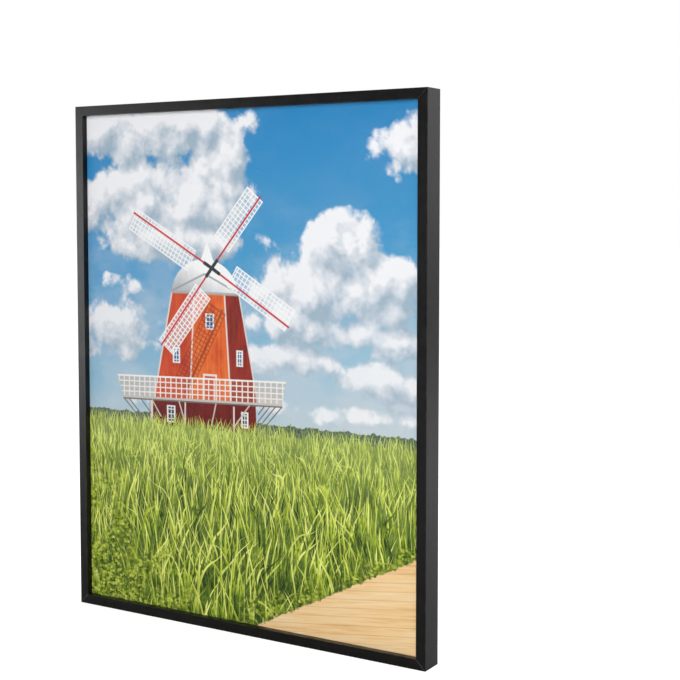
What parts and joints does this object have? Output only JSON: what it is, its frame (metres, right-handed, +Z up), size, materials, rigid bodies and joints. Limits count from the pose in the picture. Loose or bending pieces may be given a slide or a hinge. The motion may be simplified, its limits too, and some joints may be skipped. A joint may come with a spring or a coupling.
{
  "type": "poster frame panel",
  "caption": "Slim upright sign panel: mitred black metal frame, clear-covered landscape poster and a top rail that hinges up so the sheets slide in from above.",
  "frame": {"origin": "middle of the underside of the frame, halfway through its depth", "axes": "+Z up along the stiles, -Y out of the face that shows the poster, +X to the right as seen from the front"},
  "size_m": [0.57, 0.034, 0.722],
  "materials": {
    "rail_black": "satin black anodised aluminium",
    "clear_cover": "clear polyester sheet, glossy with a very light matting",
    "poster_print": null,
    "backing_white": "white foamed plastic board",
    "panel_black": "finely textured black ABS sheet",
    "screw_black": "black oxide, slightly glossy",
    "key_zinc": "die-cast zinc, dull",
    "steel_plated": "zinc-plated steel",
    "spring_steel": "blued spring steel",
    "plug_plastic": "black moulded nylon"
  },
  "bodies": {
    "frame": {"left_stile": "rail_black", "right_stile": "rail_black", "bottom_rail": "rail_black", "top_rail_base": "rail_black", "cover_sheet": "clear_cover", "poster": "poster_print", "backing_board": "backing_white", "back_panel": "panel_black", "back_panel_screws": "screw_black", "corner_key_bottom_left": "key_zinc", "corner_key_bottom_right": "key_zinc", "corner_key_top_left": "key_zinc", "corner_key_top_right": "key_zinc", "face_key_left": "key_zinc", "face_key_right": "key_zinc", "corner_set_screws": "steel_plated", "snap_spring_left": "spring_steel", "snap_spring_centre": "spring_steel", "snap_spring_right": "spring_steel", "hinge_plug_left": "plug_plastic", "hinge_plug_right": "plug_plastic", "mounting_inserts": "steel_plated"},
    "lid": {"top_lid": "rail_black"}
  },
  "joints": [
    {"name": "lid_hinge", "type": "hinge", "parent": "frame", "child": "lid", "pos_m": [0, 0.004, 0.7199], "axis": [-1, 0, 0], "range_deg": [0, 112], "deforming": ["snap_spring_left", "snap_spring_centre", "snap_spring_right"]}
  ]
}
